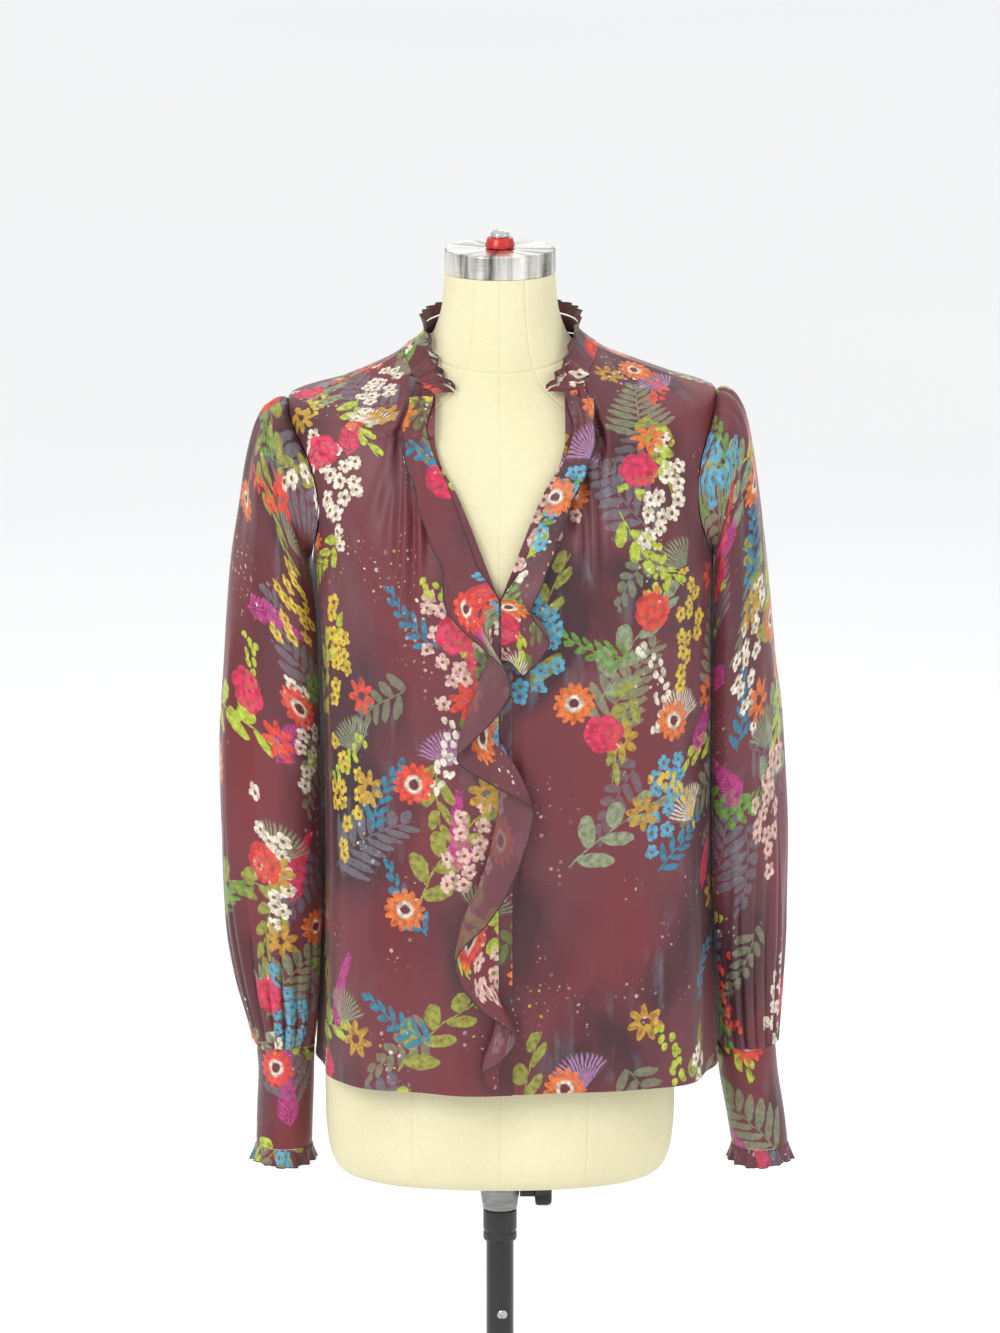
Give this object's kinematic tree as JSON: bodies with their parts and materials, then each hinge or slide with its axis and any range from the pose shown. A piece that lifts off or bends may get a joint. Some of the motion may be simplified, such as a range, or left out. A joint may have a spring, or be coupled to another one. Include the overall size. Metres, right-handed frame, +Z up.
{
  "type": "blouse on a dress form with a stand",
  "caption": "Long-sleeved floral blouse with a ruffled V neck and gathered cuffs, worn by a limbless dress form on a pole stand.",
  "frame": {"origin": "on the floor, under the middle of the pole, at the middle of the base's underside", "axes": "+Z up along the pole, +X towards the wearer's left, -Y the way the blouse faces"},
  "size_m": [0.522, 0.38, 1.3658],
  "materials": {
    "printed_satin": "light satin with a printed flower design on plum",
    "cream_canvas": "matt cream canvas",
    "brushed_steel": "brushed round the rim",
    "red_enamel": "glossy red",
    "bright_steel": "polished",
    "grey_metal": "cast, satin",
    "black_plastic": "moulded, satin",
    "black_metal": "black enamel"
  },
  "bodies": {
    "stand": {"base": "black_metal", "pole": "black_metal", "pole_collar": "black_plastic", "pole_screw": "bright_steel"},
    "mast": {"mast": "bright_steel"},
    "form": {"torso": "cream_canvas", "neck_cap": "brushed_steel", "neck_knob": "red_enamel", "knob_nut": "bright_steel", "socket": "grey_metal", "front_right": "printed_satin", "front_left": "printed_satin", "back": "printed_satin", "sleeve_right": "printed_satin", "sleeve_left": "printed_satin", "cuff_right": "printed_satin", "cuff_left": "printed_satin", "cuff_ruffle_right": "printed_satin", "cuff_ruffle_left": "printed_satin", "collar": "printed_satin", "collar_ruffle": "printed_satin", "front_ruffle_left": "printed_satin", "front_ruffle_right": "printed_satin"},
    "clamp": {"clamp_knob": "black_plastic"}
  },
  "joints": [
    {"name": "height", "type": "slide", "parent": "stand", "child": "mast", "axis": [0, 0, 1], "range_m": [0, 0.25]},
    {"name": "swivel", "type": "hinge", "parent": "mast", "child": "form", "pos_m": [0, 0, 0.48], "axis": [0, 0, 1], "continuous": true},
    {"name": "clamp_turn", "type": "hinge", "parent": "form", "child": "clamp", "pos_m": [0.03, 0, 0.478], "axis": [1, 0, 0], "range_deg": [0, 360]}
  ]
}
